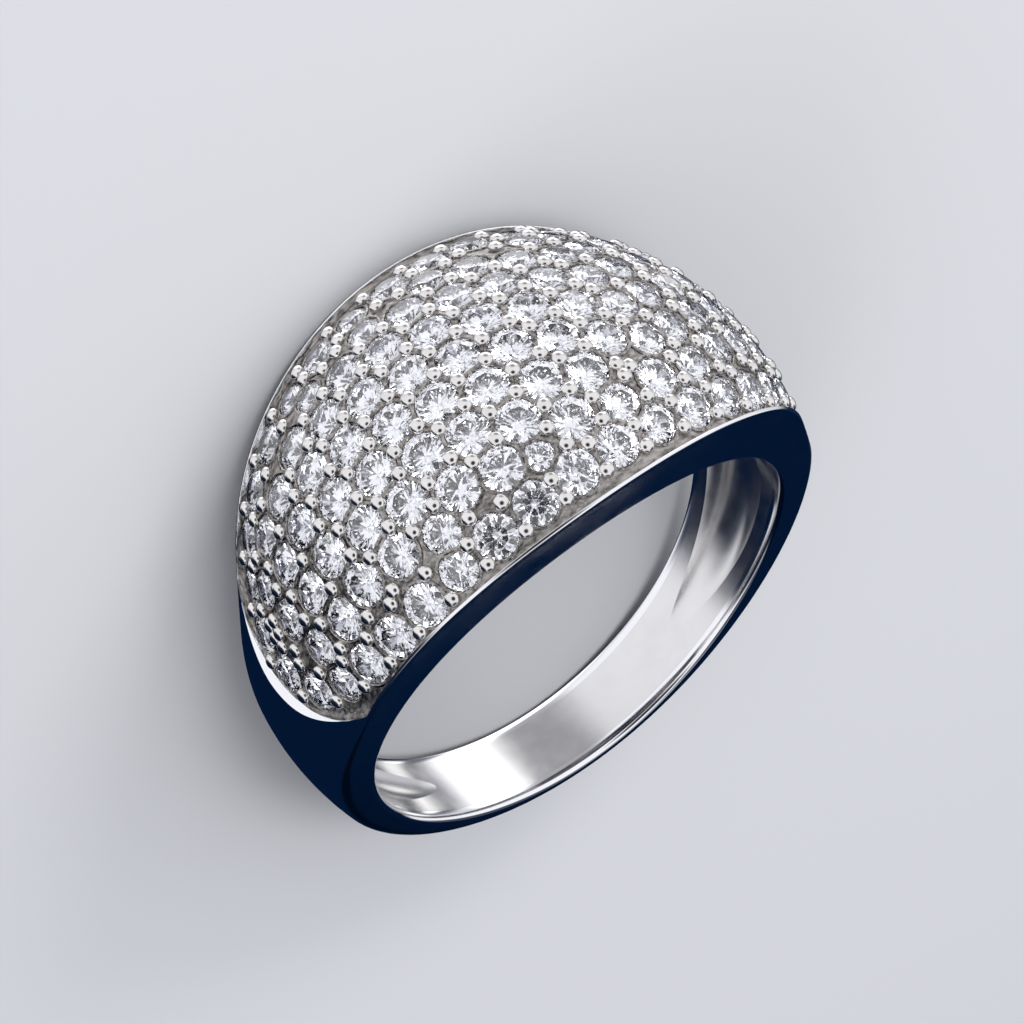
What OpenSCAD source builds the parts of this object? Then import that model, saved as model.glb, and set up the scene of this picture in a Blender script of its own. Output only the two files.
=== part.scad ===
// Pave dome ring, lying on its side: a cast metal hoop that widens into a hollow dome,
// with a field of brilliant-cut stones sunk into the dome and held by small round beads.
// The ring is drawn upright, finger axis along Z and dome towards +Y, and is then laid down.
// All sizes are in millimetres and all angles in degrees.

/* [Hoop] */
// Inner diameter, where the finger goes
bore_d = 17.3; // [17.2:0.05:17.35]
// Radius of the hoop's outer line, seen along the finger
hoop_r = 10.44; // [10.4:0.01:10.5]
// Height of the centre of the hoop's outer line above the finger axis
hoop_rise = 1.11; // [1.08:0.01:1.14]
// Narrowest width of the hoop, at its back
waist_w = 3.09; // [2.9:0.01:3.3]
// How far below the finger axis the side walls are closest together
waist_drop = 10.97; // [10.8:0.01:11.2]
// Radius of the side walls' sweep, from the narrow back to the wide dome
flare_r = 57.46; // [56:0.1:59]

/* [Dome] */
// Radius of the dome's outer surface, both along the hoop and across it
dome_r = 9.87; // [9.85:0.01:9.9]
// Height of the dome's centre above the finger axis
dome_rise = 4.03; // [4:0.01:4.06]
// Radius of the hollow under the dome
hollow_r = 8.8; // [8.7:0.01:8.85]
// Width of the lip that closes the hollow on each side
lip_w = 0.6; // [0.5:0.05:0.8]
// Reach of the groove that runs on from the hollow into the hoop
groove_reach = 9.45; // [9.3:0.01:9.5]
// Radius of the groove's round section
groove_r = 2; // [1.8:0.05:2.2]
// Height of the groove's centre above the finger axis
groove_rise = 0.99; // [0.9:0.01:1.1]

/* [Field] */
// Depth of the field's floor below the polished rim
field_depth = 0.25; // [0.22:0.01:0.28]
// Width of the polished rim along the dome's sides
rim_w = 0.13; // [0.1:0.01:0.2]
// Radius of the field's round ends, seen from the side
end_r = 5; // [4.9:0.05:5.1]
// Height of the lowest point of a round end above the finger axis
end_tip = 3.45; // [3.4:0.05:3.5]

/* [Stones] */
// Largest radius of a stone
stone_r = 0.7; // [0.6:0.01:0.72]
// Smallest gap between two stones
stone_gap = 0.12; // [0.12:0.01:0.2]
// Clearance round a stone's widest line in its seat
seat_gap = 0.03; // [0.02:0.01:0.04]
// Stones in the row that follows the rim
rim_stones = 38; // [36:1:38]
// How far up the sides of the dome the rim row reaches, from the crown line
rim_row_top = 32; // [31:0.5:32.5]
// Distance along the crown line from the top of the dome to the end of the rim row
rim_row_end = 15.35; // [15.2:0.05:15.4]

/* [Beads] */
// Largest radius of a bead
bead_r = 0.24; // [0.2:0.01:0.24]
// Clearance between a bead and the stones round it
bead_gap = 0.05; // [0.04:0.01:0.08]
// Closest that the centres of two beads may be
bead_apart = 0.45; // [0.4:0.01:0.5]

/* [Hidden] */
$fn = 128;
far = 40;                        // longer than anything it has to cut through
wall_offset = flare_r + waist_w / 2;
seat_lift = 0.04;                // height of a seat's centre above the field's floor
bead_lift = 0.03;                // height of a bead's centre above the field's floor

// The crown line is the outer line of the ring in the plane of its hoop:
// an arc round the dome's centre, a straight link, and an arc round the hoop's centre.
link_sin = (hoop_r - dome_r) / (dome_rise - hoop_rise);
link_angle = acos(link_sin);
link_dir = [link_sin, -sin(link_angle)];
link_l = (dome_rise - hoop_rise) * sin(link_angle);
arc_l = dome_r * link_angle * PI / 180;

// Angle covered by a length on a circle
function turn(length, radius) = length / radius * 180 / PI;

// Angle of the crown line's outward direction from straight up, at a length m from the top
function crown_angle(m) =
    m < arc_l ? turn(m, dome_r)
    : m < arc_l + link_l ? link_angle
    : link_angle + turn(m - arc_l - link_l, hoop_r);

// Centre of the cross section's arc at that length
function section_centre(m) =
    m < arc_l ? [0, dome_rise]
    : m < arc_l + link_l ? [0, dome_rise] + (m - arc_l) * link_dir
    : [0, hoop_rise] + (hoop_r - dome_r) * [sin(crown_angle(m)), cos(crown_angle(m))];

// Outward direction at a spot [length along the crown line, angle up the side]
function facing(spot) =
    let(b = crown_angle(abs(spot[0])))
    [sign(spot[0]) * sin(b) * cos(spot[1]), cos(b) * cos(spot[1]), sin(spot[1])];

// Point at a spot, a height above the outer surface
function on_dome(spot, height) =
    let(c = section_centre(abs(spot[0])), reach = (dome_r + height) * facing(spot))
    [sign(spot[0]) * c[0], c[1], 0] + reach;

// Spot under a point near the surface
function spot_of(p) =
    let(
        s = abs(p[0]),
        v = p[1] - dome_rise,
        b = atan2(s, v),
        along = s * link_dir[0] + v * link_dir[1],
        g = atan2(s, p[1] - hoop_rise),
        hoop_reach = norm([s, p[1] - hoop_rise]) - (hoop_r - dome_r)
    )
    b < link_angle ? [sign(p[0]) * dome_r * b * PI / 180, atan2(p[2], norm([s, v]))]
    : along < link_l ? [sign(p[0]) * (arc_l + along), atan2(p[2], s * sin(link_angle) + v * link_sin)]
    : [sign(p[0]) * (arc_l + link_l + hoop_r * (g - link_angle) * PI / 180), atan2(p[2], hoop_reach)];

// Rim row: one closed curve inside the rim, with stones at even distances along it
rim_row_bend = 0.9;              // 1 would make the row an ellipse, less makes it squarer
function rim_spot(w) =
    [rim_row_end * sin(w), sign(cos(w)) * rim_row_top * pow(abs(cos(w)), rim_row_bend)];
rim_path = [for (w = [0:360]) on_dome(rim_spot(w), 0)];
rim_steps = [for (w = [1:360]) norm(rim_path[w] - rim_path[w - 1])];
rim_run = [for (w = 0, s = 0; w <= 360; s = s + (w < 360 ? rim_steps[w] : 0), w = w + 1) [s, w]];
rim_length = rim_run[360][0];
rim_row = [for (i = [0:rim_stones - 1]) rim_spot(lookup((i + 0.5) / rim_stones * rim_length, rim_run))];

// Rows of stones up and over the dome inside the rim row, each at one length along the crown line
cross_rows = [
    // length, angle of the highest stone, angle between stones, number of stones,
    // largest radius as a share of stone_r
    [-12.8, 9.2, 9.4, 3, 1],
    [-11, 13, 8.8, 4, 1],
    [-9.35, 14.2, 9.4, 4, 1],
    [-7.7, 17.6, 8.8, 5, 1],
    [-6.1, 22.2, 9.1, 6, 1],
    [-4.55, 19, 9.5, 5, 1],
    [-3, 22.3, 9.3, 6, 1],
    [-1.7, 25.2, 9.3, 1, 0.65],
    [-1.46, 17.5, 9.3, 5, 1],
    [0.1, 23, 9.5, 6, 1],
    [1.6, 16.5, 9.4, 5, 1],
    [2, 25, 9.4, 1, 1],
    [3.05, 11.6, 9.4, 4, 1],
    [3.95, 23, 9.4, 1, 1],
    [4.5, 14.4, 9.5, 5, 1],
    [5.9, 21.8, 9.3, 6, 1],
    [7.6, 17.6, 8.8, 5, 1],
    [9.25, 14.2, 9.4, 4, 1],
    [11, 13, 8.8, 4, 1],
    [12.8, 9.2, 9.4, 3, 1],
];
inner_stones = [for (row = cross_rows) for (i = [0:row[3] - 1]) [row[0], row[1] - i * row[2]]];

stones = concat(rim_row, inner_stones);
stone_points = [for (spot = stones) on_dome(spot, 0)];
last = len(stones) - 1;
reach = 3.6;                     // no two stones round one gap are further apart

// Largest radius that each stone may have
limits = concat(
    [for (i = [1:rim_stones]) stone_r],
    [for (row = cross_rows) for (i = [1:row[3]]) row[4] * stone_r]
);

// Radius of each stone: the largest, or less where the distance to the next stone, shared out
// by their largest radii, leaves less
radii = [for (i = [0:last])
    min(limits[i], min([for (j = [0:last]) if (j != i)
        (norm(stone_points[i] - stone_points[j]) - stone_gap) * limits[i] / (limits[i] + limits[j])]))];

// Neighbours of each stone, those later in the list and all of them
later = [for (i = [0:last])
    [for (j = [i + 1:1:last]) if (norm(stone_points[i] - stone_points[j]) < reach) j]];
around = [for (i = [0:last])
    [for (j = [0:last]) if (norm(stone_points[i] - stone_points[j]) < reach) j]];

// Centre of the circle through three points
function circle_centre(p, q, r) =
    let(a = q - p, b = r - p, n = cross(a, b))
    p + (a * a * cross(b, n) + b * b * cross(n, a)) / (2 * (n * n));

// A gap is a circle through three stones that holds no other stone's centre
gap_limit = 2.2;
gap_centres = [for (i = [0:last]) for (j = later[i]) for (k = later[j])
    if (norm(stone_points[i] - stone_points[k]) < reach)
        let(
            c = circle_centre(stone_points[i], stone_points[j], stone_points[k]),
            r = norm(c - stone_points[i])
        )
        if (r < gap_limit && min([for (m = around[i]) norm(stone_points[m] - c)]) > r - 0.001)
            spot_of(c)];

// Distance from a spot to the nearest stone's edge
function room(spot) =
    let(p = on_dome(spot, 0))
    min([for (i = [0:last]) norm(p - stone_points[i]) - radii[i]]);

// A spot moved by a distance along the crown line and a distance up the side
function moved(spot, by) = spot + [by[0], turn(by[1], dome_r)];

// Between two stones of the rim row, on the side of the rim
rim_bead_out = 0.5;
rim_spots = [for (i = [0:rim_stones - 1])
    let(
        a = rim_row[i],
        b = rim_row[(i + 1) % rim_stones],
        d = [b[0] - a[0], (b[1] - a[1]) * dome_r * PI / 180]
    )
    moved((a + b) / 2, rim_bead_out * [-d[1], d[0]] / norm(d))];

// One bead in the middle of a gap, or three round the middle of a wide one
wide_room = 0.5;
trio_r = 0.28;
gap_spots = [for (spot = gap_centres)
    each room(spot) > wide_room
        ? [for (a = [0:120:240]) moved(spot, trio_r * [cos(a), sin(a)])]
        : [spot]];

bead_least = 0.12;
bead_spots = [for (spot = concat(rim_spots, gap_spots)) if (room(spot) - bead_gap > bead_least) spot];
bead_points = [for (spot = bead_spots) on_dome(spot, bead_lift - field_depth)];
beads = [for (i = [0:len(bead_spots) - 1])
    if (min([for (j = [0:1:i - 1]) norm(bead_points[i] - bead_points[j]), far]) > bead_apart) i];

// Proportions of a cut stone, as shares of its radius
table_share = 0.57;
crown_share = 0.3;
pavilion_share = 0.87;
girdle_half = 0.02;
sides = 8;

// A cut stone about the origin, table up and girdle at the origin's height
module brilliant(r) {
    table = [for (i = [0:sides - 1])
        [table_share * r * cos(45 * i), table_share * r * sin(45 * i), crown_share * r]];
    upper = [for (i = [0:sides - 1]) [r * cos(45 * i + 22.5), r * sin(45 * i + 22.5), girdle_half]];
    lower = [for (p = upper) [p[0], p[1], -girdle_half]];
    culet = [0, 0, -pavilion_share * r];
    polyhedron(
        points = concat(table, upper, lower, [culet]),
        faces = concat(
            [[for (i = [sides - 1:-1:0]) i]],
            [for (i = [0:sides - 1]) [i, (i + 1) % sides, sides + i]],
            [for (i = [0:sides - 1]) [(i + 1) % sides, sides + (i + 1) % sides, sides + i]],
            [for (i = [0:sides - 1])
                [sides + i, sides + (i + 1) % sides, 2 * sides + (i + 1) % sides, 2 * sides + i]],
            [for (i = [0:sides - 1]) [2 * sides + i, 2 * sides + (i + 1) % sides, 3 * sides]]
        )
    );
}

// The round hole that a stone sits in, as a ball burr leaves it
module seat(r) {
    translate([0, 0, seat_lift])
        sphere(r + seat_gap, $fn = 48);
}

// Places children at a spot on the field's floor, their Z axis pointing outwards
module at_spot(spot, height) {
    n = facing(spot);
    translate(on_dome(spot, height))
        rotate([0, acos(n[2]), atan2(n[1], n[0])])
            children();
}

// The ring's outer form before its sides are cut, a depth below the outer surface
module outer_form(depth) {
    r = dome_r - depth;
    translate([0, dome_rise, 0])
        sphere(r);
    for (side = [-1, 1])
        translate([0, dome_rise, 0])
            rotate([90, 0, side * (90 - link_angle)])
                cylinder(h = link_l, r = r);
    translate([0, hoop_rise, 0])
        rotate_extrude()
            intersection() {
                translate([hoop_r - dome_r, 0])
                    circle(r);
                translate([0, -far / 2])
                    square([far / 2, far]);
            }
}

// Everything outside the two hollow side walls, moved inwards by an inset
module outside_walls(inset) {
    for (side = [-1, 1])
        translate([0, -waist_drop, side * wall_offset])
            rotate([0, 90, 0])
                cylinder(h = far, r = flare_r + inset, center = true, $fn = 720);
}

// The hollow under the dome and its groove, closed by a lip on each side
module hollow() {
    difference() {
        union() {
            translate([0, dome_rise, 0])
                sphere(hollow_r);
            translate([0, groove_rise, 0])
                rotate_extrude()
                    translate([groove_reach - groove_r, 0])
                        circle(groove_r);
        }
        outside_walls(lip_w);
    }
}

// Where the field lies, as a block that runs right through the ring sideways
module field_block() {
    difference() {
        union() {
            translate([-far / 2, end_tip + end_r, -far / 2])
                cube(far);
            translate([0, end_tip + end_r, 0])
                rotate([0, 90, 0])
                    cylinder(h = far, r = end_r, center = true);
        }
        outside_walls(rim_w);
    }
}

// The cast body: hoop, dome, rim, hollow, seats and beads in one piece
module ring_upright() {
    difference() {
        union() {
            outer_form(field_depth);
            difference() {
                outer_form(0);
                field_block();
            }
        }
        outside_walls(0);
        cylinder(h = far, d = bore_d, center = true);
        hollow();
        for (i = [0:last])
            at_spot(stones[i], -field_depth)
                seat(radii[i]);
    }
    for (i = beads)
        translate(bead_points[i])
            sphere(min(bead_r, room(bead_spots[i]) - bead_gap), $fn = 24);
}

// Half the ring's width at a height above the finger axis
function half_width(h) = wall_offset - sqrt(flare_r * flare_r - pow(h + waist_drop, 2));

// Height at which the dome's side meets its crown, and the same at the hoop's back, in n steps
function front_edge(h, n) =
    n == 0 ? h : front_edge(dome_rise + sqrt(dome_r * dome_r - pow(half_width(h), 2)), n - 1);
function back_edge(h, n) =
    n == 0 ? h
    : back_edge(hoop_rise - hoop_r + dome_r - sqrt(dome_r * dome_r - pow(half_width(h), 2)), n - 1);

// The ring rests on these two edges, on one side, with the dome towards the front
front_h = front_edge(dome_rise + dome_r, 20);
back_h = back_edge(hoop_rise - hoop_r, 20);
lie_tilt = atan2(half_width(front_h) - half_width(back_h), front_h - back_h);
ground = half_width(front_h) * cos(lie_tilt) - front_h * sin(lie_tilt);
front_reach = dome_rise * cos(lie_tilt) + dome_r;
back_reach = half_width(back_h) * sin(lie_tilt) - back_h * cos(lie_tilt);

// Lays the upright ring down, its lowest points on the ground and its box centred on the origin
module laid_down() {
    translate([0, (front_reach - back_reach) / 2, ground])
        rotate([0, 0, 180])
            rotate([lie_tilt, 0, 0])
                children();
}

module ring_body() {
    color([0.82, 0.83, 0.85])
        laid_down()
            ring_upright();
}

module pave_stones() {
    color([0.93, 0.95, 1])
        laid_down()
            for (i = [0:last])
                at_spot(stones[i], -field_depth)
                    brilliant(radii[i]);
}

ring_body();
pave_stones();
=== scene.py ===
# Pave dome ring laid on its side: polished hoop, grainy field, round beads and brilliant-cut stones.
# Shapes are worked out in millimetres on three axes of the ring: side along the hoop's width seen from
# the front, up from the finger to the dome, and along the finger. They are then laid down in metres.
import math
import bmesh
import bpy
import numpy as np
from mathutils import Matrix, Vector


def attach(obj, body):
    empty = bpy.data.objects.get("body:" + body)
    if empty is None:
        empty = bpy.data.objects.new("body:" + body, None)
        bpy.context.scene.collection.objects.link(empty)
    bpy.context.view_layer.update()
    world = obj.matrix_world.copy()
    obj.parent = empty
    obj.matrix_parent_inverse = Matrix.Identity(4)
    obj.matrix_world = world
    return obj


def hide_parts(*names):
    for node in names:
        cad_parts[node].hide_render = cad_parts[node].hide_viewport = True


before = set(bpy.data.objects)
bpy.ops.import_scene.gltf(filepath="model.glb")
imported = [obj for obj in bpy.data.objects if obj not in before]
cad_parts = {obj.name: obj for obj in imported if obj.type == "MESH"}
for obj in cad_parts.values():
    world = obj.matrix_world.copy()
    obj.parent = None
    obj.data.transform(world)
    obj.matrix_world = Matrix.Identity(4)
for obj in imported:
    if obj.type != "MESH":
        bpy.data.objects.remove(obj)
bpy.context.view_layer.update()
mm = 0.001
halvings = 40        # rounds of halving that find the field's edge
settleRounds = 30    # rounds of stepwise solving elsewhere
mergeWithin = 2e-7   # metres between points that become one
tinyEdge = 1e-7      # metres of an edge that is taken out
print("frame loaded")

# Camera: where it stands round the ring, how far it is turned, and the point that it looks at
cameraView = {
    "azimuth": 25.25,                 # degrees, from the front towards +X
    "elevation": 44.1,                # degrees above the floor
    "roll": -128.5,                   # degrees that the camera's up leans from upright
    "distance": 137.64,               # mm
    "aim": (-0.748, 0.065, 1.827),    # mm
    "lens": 140.63,                   # mm on the sensor below
    "sensor": 36.0,
    "nearest": 5.0,                   # mm from which on things are seen
}


def placeCamera(view):
    # the camera looks back along its own Z, which points from the aim to where it stands
    around = math.radians(view["azimuth"])
    rise = math.radians(view["elevation"])
    roll = math.radians(view["roll"])
    back = Vector((math.sin(around) * math.cos(rise), -math.cos(around) * math.cos(rise), math.sin(rise)))
    levelRight = Vector((math.cos(around), math.sin(around), 0))
    levelUp = back.cross(levelRight)
    up = math.cos(roll) * levelUp + math.sin(roll) * levelRight
    right = up.cross(back)
    camera = bpy.data.objects.new("camera", bpy.data.cameras.new("camera"))
    camera.data.lens = view["lens"]
    camera.data.sensor_width = view["sensor"]
    camera.data.clip_start = view["nearest"] * mm
    place = Vector(view["aim"]) * mm + back * view["distance"] * mm
    turned = Matrix((right, up, back)).transposed().to_4x4()
    camera.matrix_world = Matrix.Translation(place) @ turned
    bpy.context.scene.collection.objects.link(camera)
    bpy.context.scene.camera = camera


placeCamera(cameraView)
print("camera placed")

# The ring's main sizes in mm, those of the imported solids, but the outside is 0.002 smaller
ringShape = {
    "boreR": 8.65,
    "hoopR": 10.436,        # outer line of the hoop
    "hoopRise": 1.11,       # its centre above the finger axis
    "waistW": 3.09,         # width at the back
    "waistDrop": 10.97,     # how far below the finger axis the side walls are closest
    "flareR": 57.46,        # sweep of the side walls
    "domeR": 9.868,
    "domeRise": 4.03,
    "hollowR": 8.8,
    "lipW": 0.6,            # lips that close the hollow on each side
    "grooveReach": 9.45,
    "grooveR": 2.0,
    "grooveRise": 0.99,
    "fieldDepth": 0.25,     # field's floor below the polished rim
    "rimW": 0.13,
    "endR": 5.0,            # round ends of the field
    "endTip": 3.45,
    "searchA": 6.9,         # along the finger, further than the field reaches anywhere
}
boreR = ringShape["boreR"]
hoopR = ringShape["hoopR"]
hoopRise = ringShape["hoopRise"]
domeR = ringShape["domeR"]
domeRise = ringShape["domeRise"]
flareR = ringShape["flareR"]
waistDrop = ringShape["waistDrop"]
grooveR = ringShape["grooveR"]
grooveRise = ringShape["grooveRise"]
fieldDepth = ringShape["fieldDepth"]
wallOffset = flareR + ringShape["waistW"] / 2
grooveMiddle = ringShape["grooveReach"] - grooveR
endCentre = ringShape["endTip"] + ringShape["endR"]

# The crown line runs over the dome, down a straight link and round the hoop
linkAngle = math.acos((hoopR - domeR) / (domeRise - hoopRise))
linkLength = (domeRise - hoopRise) * math.sin(linkAngle)
arcLength = domeR * linkAngle
halfLoop = arcLength + linkLength + hoopR * (math.pi - linkAngle)
# Length along it to the tip of the field, which lies on the link, and to the end of the groove
fieldTip = arcLength + (domeRise + domeR * math.cos(linkAngle) - ringShape["endTip"]) / math.sin(linkAngle)
grooveEndUp = (grooveRise ** 2 + boreR ** 2 - ringShape["grooveReach"] ** 2) / (2 * grooveRise)
grooveEndTurn = math.atan2(math.sqrt(boreR ** 2 - grooveEndUp ** 2), grooveEndUp - hoopRise)
grooveEnd = arcLength + linkLength + hoopR * (grooveEndTurn - linkAngle)


def crownLine(t):
    # outward angle from straight up and centre of the section's arc, at a length t from the top
    m = np.abs(t)
    onHoop = m > arcLength + linkLength
    along = np.clip(m - arcLength, 0, linkLength)
    hoopAngle = linkAngle + (m - arcLength - linkLength) / hoopR
    angle = np.where(onHoop, hoopAngle, np.minimum(m / domeR, linkAngle))
    centreSide = np.where(onHoop, (hoopR - domeR) * np.sin(angle), along * math.cos(linkAngle))
    hoopUp = hoopRise + (hoopR - domeR) * np.cos(angle)
    centreUp = np.where(onHoop, hoopUp, domeRise - along * math.sin(linkAngle))
    return angle, centreSide, centreUp


def sectionPoint(t, out, a):
    # point of the section plane at t: a distance out from the section's centre, and a along the finger
    angle, centreSide, centreUp = crownLine(t)
    side = np.sign(t) * (centreSide + out * np.sin(angle))
    return np.stack([side, centreUp + out * np.cos(angle), a + 0 * side], axis=-1)


def wallAt(up, inset=0.0):
    # half the ring's width at a height: the side walls are two hollow cylinders' faces
    return wallOffset - np.sqrt((flareR + inset) ** 2 - (up + waistDrop) ** 2)


def outAt(a, depth=0.0):
    # distance out of the outer arc at a along the finger, a depth under the surface
    return np.sqrt(np.maximum((domeR - depth) ** 2 - a ** 2, 0))


def facing(t, climb):
    # outward direction at a spot: t along the crown line and an angle of climb up the side
    angle = crownLine(t)[0]
    flat = np.cos(climb)
    side = np.sign(t) * np.sin(angle) * flat
    return np.stack([side, np.cos(angle) * flat, np.sin(climb) + 0 * angle], axis=-1)


def onDome(spots, height=0.0):
    # points a height above the outer surface, for spots in mm and degrees
    t = spots[..., 0]
    climb = np.radians(spots[..., 1])
    centre = sectionPoint(t, np.zeros_like(t), np.zeros_like(t))
    return centre + (domeR + height) * facing(t, climb)


# The ring rests on the edge of its dome and the edge of its back, on one side
frontUp = domeRise + domeR
backUp = hoopRise - hoopR
for step in range(settleRounds):
    frontUp = domeRise + math.sqrt(domeR ** 2 - wallAt(frontUp) ** 2)
    backUp = hoopRise - hoopR + domeR - math.sqrt(domeR ** 2 - wallAt(backUp) ** 2)
lieTilt = math.atan2(wallAt(frontUp) - wallAt(backUp), frontUp - backUp)
ground = wallAt(frontUp) * math.cos(lieTilt) - frontUp * math.sin(lieTilt)
frontReach = domeRise * math.cos(lieTilt) + domeR
backReach = wallAt(backUp) * math.sin(lieTilt) - backUp * math.cos(lieTilt)


def layDown(points):
    # from the upright ring in mm to the part's frame in metres
    side, up, a = np.moveaxis(points, -1, 0)
    y = a * math.sin(lieTilt) - up * math.cos(lieTilt) + (frontReach - backReach) / 2
    z = up * math.sin(lieTilt) + a * math.cos(lieTilt) + ground
    return np.stack([-side, y, z], axis=-1) * mm


def meshPiece(name, points, faces, materials, smoothAngle=None, finish=None):
    # one piece from points in ring mm: doubles merged, faces turned outwards, edges sharp past an angle;
    # finish numbers the material of each face
    mesh = bpy.data.meshes.new(name)
    mesh.from_pydata(layDown(points).tolist(), [], faces)
    for material in materials:
        mesh.materials.append(material)
    if finish is not None:
        mesh.polygons.foreach_set("material_index", finish.astype(np.int32))
    work = bmesh.new()
    work.from_mesh(mesh)
    bmesh.ops.remove_doubles(work, verts=work.verts, dist=mergeWithin)
    bmesh.ops.dissolve_degenerate(work, edges=work.edges, dist=tinyEdge)
    bmesh.ops.recalc_face_normals(work, faces=work.faces)
    work.to_mesh(mesh)
    work.free()
    if smoothAngle is not None:
        mesh.polygons.foreach_set("use_smooth", np.ones(len(mesh.polygons), dtype=bool))
        mesh.set_sharp_from_angle(angle=math.radians(smoothAngle))
    piece = bpy.data.objects.new(name, mesh)
    bpy.context.scene.collection.objects.link(piece)
    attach(piece, "root")
    print(name, len(mesh.polygons), "faces")
    return piece


def gridFaces(rows, columns, closedRows=False):
    # quads of a grid whose columns close into a loop, and whose rows may close too
    row = np.arange(rows if closedRows else rows - 1)[:, None]
    column = np.arange(columns)[None, :]
    nextRow = (row + 1) % rows
    nextColumn = (column + 1) % columns
    corners = [row * columns + column, row * columns + nextColumn,
               nextRow * columns + nextColumn, nextRow * columns + column]
    return np.stack(corners, axis=-1).reshape(-1, 4).tolist()


def smoothStep(x):
    # cubic that rises from 0 to 1 as x does, level at both ends
    x = np.clip(x, 0, 1)
    return x * x * (3 - 2 * x)


def bevelWidth(a):
    # width of the bevel outside the field's round ends, widest at their tips
    fade = (np.abs(a) - bodyShape["bevelFull"]) / bodyShape["bevelFade"]
    return bodyShape["bevelW"] * (1 - smoothStep(fade))


def fieldEdge(t, withBevel=False):
    # half the field's width in the section at t, found by halving: the field stays inside the rim
    # and inside its round ends, which are seen as circles from the side
    angle, centreSide, centreUp = crownLine(t)
    low = np.zeros_like(t)
    high = np.full_like(t, ringShape["searchA"])
    for step in range(halvings):
        a = (low + high) / 2
        up = centreUp + outAt(a) * np.cos(angle)
        below = np.maximum(endCentre - up, 0)
        endReach = ringShape["endR"] + bevelWidth(a) * withBevel
        inside = (a < wallAt(up, ringShape["rimW"])) & (below ** 2 + a ** 2 < endReach ** 2)
        inside |= (below == 0) & (a < wallAt(up, ringShape["rimW"]))
        low = np.where(inside, a, low)
        high = np.where(inside, high, a)
    return low


def fieldEdgeAt(t, edge, depth):
    # the same edge a depth under the surface, where the rim's inner wall follows the side wall
    angle, centreSide, centreUp = crownLine(t)
    a = edge
    for step in range(settleRounds):
        a = np.minimum(edge, wallAt(centreUp + outAt(a, depth) * np.cos(angle), ringShape["rimW"]))
    return a


# Detail of the noise that makes the grain, and the part of it that sets the colour and the gloss
grainRange = {
    "detail": 4.0,
    "tint": (0.35, 0.65),
    "wear": (0.3, 0.7),
}


# Silver: near-white metal, with grain in its colour, its gloss and its surface; the grain's streaks
# run round the finger, longer than they are wide by the stretch
def metalMaterial(name, colour, roughness, grainScale, grainDepth, spread, stretch):
    material = bpy.data.materials.new(name)
    material.use_nodes = True
    nodes = material.node_tree.nodes
    links = material.node_tree.links
    shader = nodes["Principled BSDF"]
    shader.inputs["Metallic"].default_value = 1.0
    place = nodes.new("ShaderNodeTexCoord")
    alongFinger = nodes.new("ShaderNodeMapping")
    alongFinger.vector_type = "TEXTURE"
    alongFinger.inputs["Rotation"].default_value = (-lieTilt, 0, 0)
    alongFinger.inputs["Scale"].default_value = (1, 1, 1 / stretch)
    links.new(place.outputs["Object"], alongFinger.inputs["Vector"])
    grain = nodes.new("ShaderNodeTexNoise")
    grain.inputs["Scale"].default_value = grainScale
    grain.inputs["Detail"].default_value = grainRange["detail"]
    links.new(alongFinger.outputs["Vector"], grain.inputs["Vector"])
    contrast = nodes.new("ShaderNodeMapRange")
    contrast.inputs["From Min"].default_value = grainRange["tint"][0]
    contrast.inputs["From Max"].default_value = grainRange["tint"][1]
    links.new(grain.outputs["Fac"], contrast.inputs["Value"])
    tint = nodes.new("ShaderNodeMix")
    tint.data_type = "RGBA"
    tint.inputs[6].default_value = (*[c * (1 - spread) for c in colour], 1)
    tint.inputs[7].default_value = (*colour, 1)
    links.new(contrast.outputs["Result"], tint.inputs[0])
    links.new(tint.outputs[2], shader.inputs["Base Color"])
    wear = nodes.new("ShaderNodeMapRange")
    wear.inputs["From Min"].default_value = grainRange["wear"][0]
    wear.inputs["From Max"].default_value = grainRange["wear"][1]
    wear.inputs["To Min"].default_value = roughness[0]
    wear.inputs["To Max"].default_value = roughness[1]
    links.new(grain.outputs["Fac"], wear.inputs["Value"])
    links.new(wear.outputs["Result"], shader.inputs["Roughness"])
    bump = nodes.new("ShaderNodeBump")
    bump.inputs["Strength"].default_value = 1.0
    bump.inputs["Distance"].default_value = grainDepth * mm
    links.new(grain.outputs["Fac"], bump.inputs["Height"])
    links.new(bump.outputs["Normal"], shader.inputs["Normal"])
    return material


# Cut stone: clear, with a faint drift between white and ice blue
def stoneMaterial(name, colours, driftScale, refraction):
    material = bpy.data.materials.new(name)
    material.use_nodes = True
    nodes = material.node_tree.nodes
    links = material.node_tree.links
    shader = nodes["Principled BSDF"]
    shader.inputs["Roughness"].default_value = 0.0
    shader.inputs["IOR"].default_value = refraction
    shader.inputs["Transmission Weight"].default_value = 1.0
    place = nodes.new("ShaderNodeTexCoord")
    drift = nodes.new("ShaderNodeTexNoise")
    drift.inputs["Scale"].default_value = driftScale
    links.new(place.outputs["Object"], drift.inputs["Vector"])
    tint = nodes.new("ShaderNodeMix")
    tint.data_type = "RGBA"
    tint.inputs[6].default_value = (*colours[0], 1)
    tint.inputs[7].default_value = (*colours[1], 1)
    links.new(drift.outputs["Fac"], tint.inputs[0])
    links.new(tint.outputs[2], shader.inputs["Base Color"])
    return material


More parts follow.
